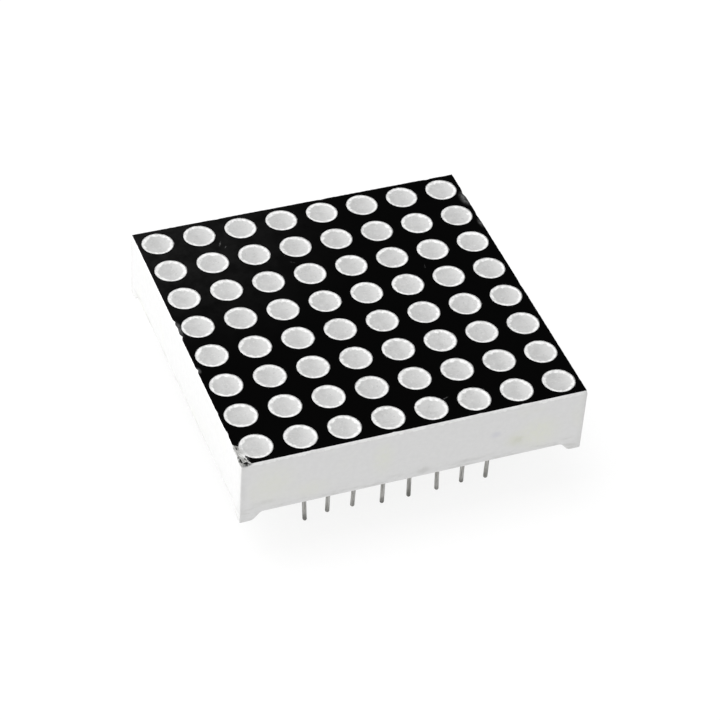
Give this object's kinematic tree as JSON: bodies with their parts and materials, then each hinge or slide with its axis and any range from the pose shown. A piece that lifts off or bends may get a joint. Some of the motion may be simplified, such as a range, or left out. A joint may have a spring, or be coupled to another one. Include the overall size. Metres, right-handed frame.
{
  "type": "led dot matrix",
  "caption": "Square LED dot matrix display: white housing with reflector cups, black printed face, milky round dots, and two rows of round leads under a resin-sealed board.",
  "frame": {"origin": "on the plane of the four feet, midway between the two rows of leads and at the middle of the housing", "axes": "+Z out through the face, away from the leads; +X along a row of leads from lead 1 to lead 8; +Y from the first row of leads to the second"},
  "size_m": [0.032, 0.032, 0.0118],
  "materials": {
    "white_housing": "satin moulded white plastic",
    "black_print": "matt black ink",
    "board": "green solder mask",
    "copper": "copper",
    "gold_plate": "thin gold plate",
    "solder": "bright tin solder",
    "back_resin": "clear cast resin, slightly hazy",
    "die": "sawn semiconductor",
    "bond_wire": "drawn gold wire",
    "diffusing_resin": "milky cast resin",
    "tinned_lead": "dull tin plate"
  },
  "bodies": {
    "root": {"housing": "white_housing", "face_print": "black_print", "circuit_board": "board", "row_tracks": "copper", "bond_pads": "gold_plate", "solder_lands": "copper", "solder_joints": "solder", "back_resin": "back_resin", "led_dice_row_1": "die", "led_dice_row_2": "die", "led_dice_row_3": "die", "led_dice_row_4": "die", "led_dice_row_5": "die", "led_dice_row_6": "die", "led_dice_row_7": "die", "led_dice_row_8": "die", "bond_wires_row_1": "bond_wire", "bond_wires_row_2": "bond_wire", "bond_wires_row_3": "bond_wire", "bond_wires_row_4": "bond_wire", "bond_wires_row_5": "bond_wire", "bond_wires_row_6": "bond_wire", "bond_wires_row_7": "bond_wire", "bond_wires_row_8": "bond_wire", "resin_dots_row_1": "diffusing_resin", "resin_dots_row_2": "diffusing_resin", "resin_dots_row_3": "diffusing_resin", "resin_dots_row_4": "diffusing_resin", "resin_dots_row_5": "diffusing_resin", "resin_dots_row_6": "diffusing_resin", "resin_dots_row_7": "diffusing_resin", "resin_dots_row_8": "diffusing_resin", "lead_1": "tinned_lead", "lead_2": "tinned_lead", "lead_3": "tinned_lead", "lead_4": "tinned_lead", "lead_5": "tinned_lead", "lead_6": "tinned_lead", "lead_7": "tinned_lead", "lead_8": "tinned_lead", "lead_9": "tinned_lead", "lead_10": "tinned_lead", "lead_11": "tinned_lead", "lead_12": "tinned_lead", "lead_13": "tinned_lead", "lead_14": "tinned_lead", "lead_15": "tinned_lead", "lead_16": "tinned_lead"}
  },
  "joints": []
}
